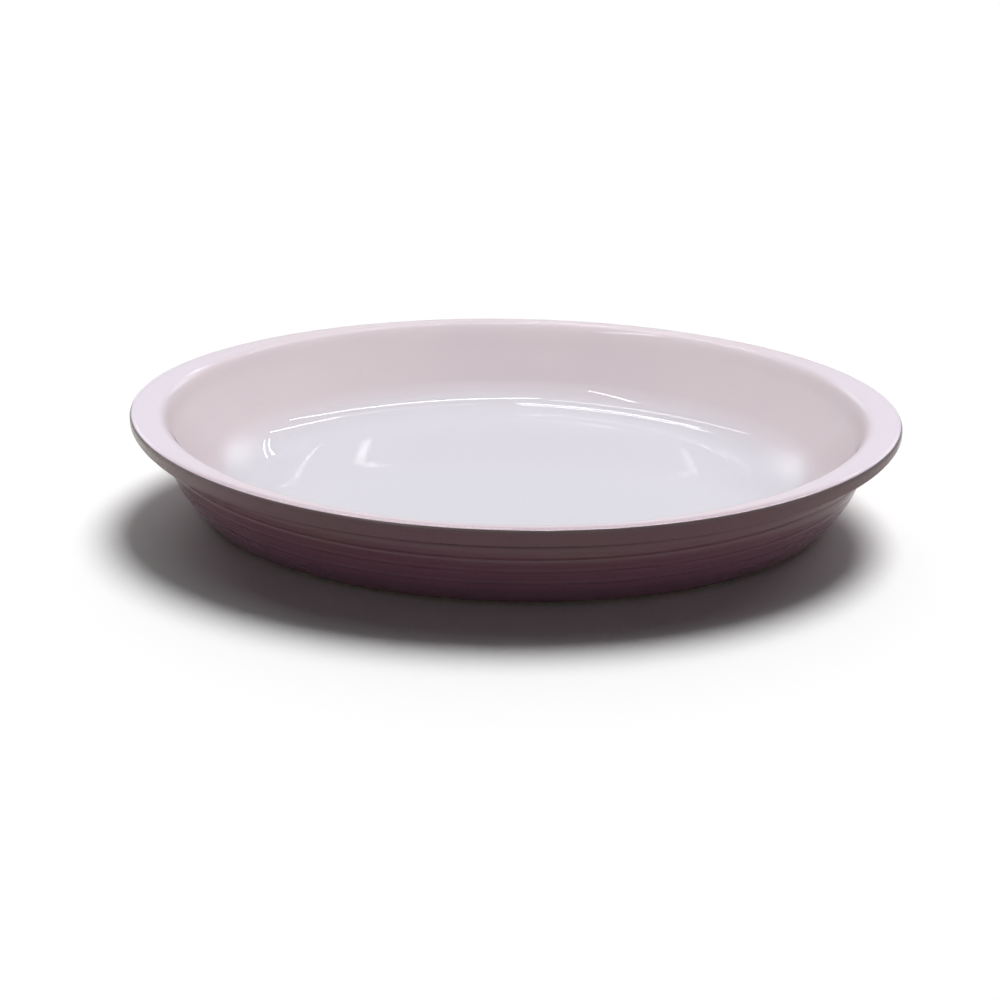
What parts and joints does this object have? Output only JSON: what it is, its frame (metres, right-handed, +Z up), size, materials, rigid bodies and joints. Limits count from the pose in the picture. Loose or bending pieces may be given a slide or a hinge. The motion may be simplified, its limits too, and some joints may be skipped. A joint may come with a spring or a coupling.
{
  "type": "oval gratin dish",
  "caption": "Shallow oval oven dish in glazed stoneware, with a pale inside, a dark ribbed outside and a lug handle at each end, for baking and serving.",
  "frame": {"origin": "on the table, under the middle of the dish", "axes": "+X along the dish from lug to lug, +Y across it, +Z up"},
  "size_m": [0.32, 0.193, 0.0465],
  "materials": {
    "stoneware_body": "bare fired stoneware, fine matt grain",
    "interior_glaze": "glossy pale pink glaze",
    "exterior_glaze": "satin gloss dusky mauve glaze, darker in the grooves",
    "underside_glaze": "satin gloss dusky mauve glaze"
  },
  "bodies": {
    "root": {"stoneware_body": "stoneware_body", "interior_glaze": "interior_glaze", "exterior_glaze": "exterior_glaze", "underside_glaze": "underside_glaze"}
  },
  "joints": []
}
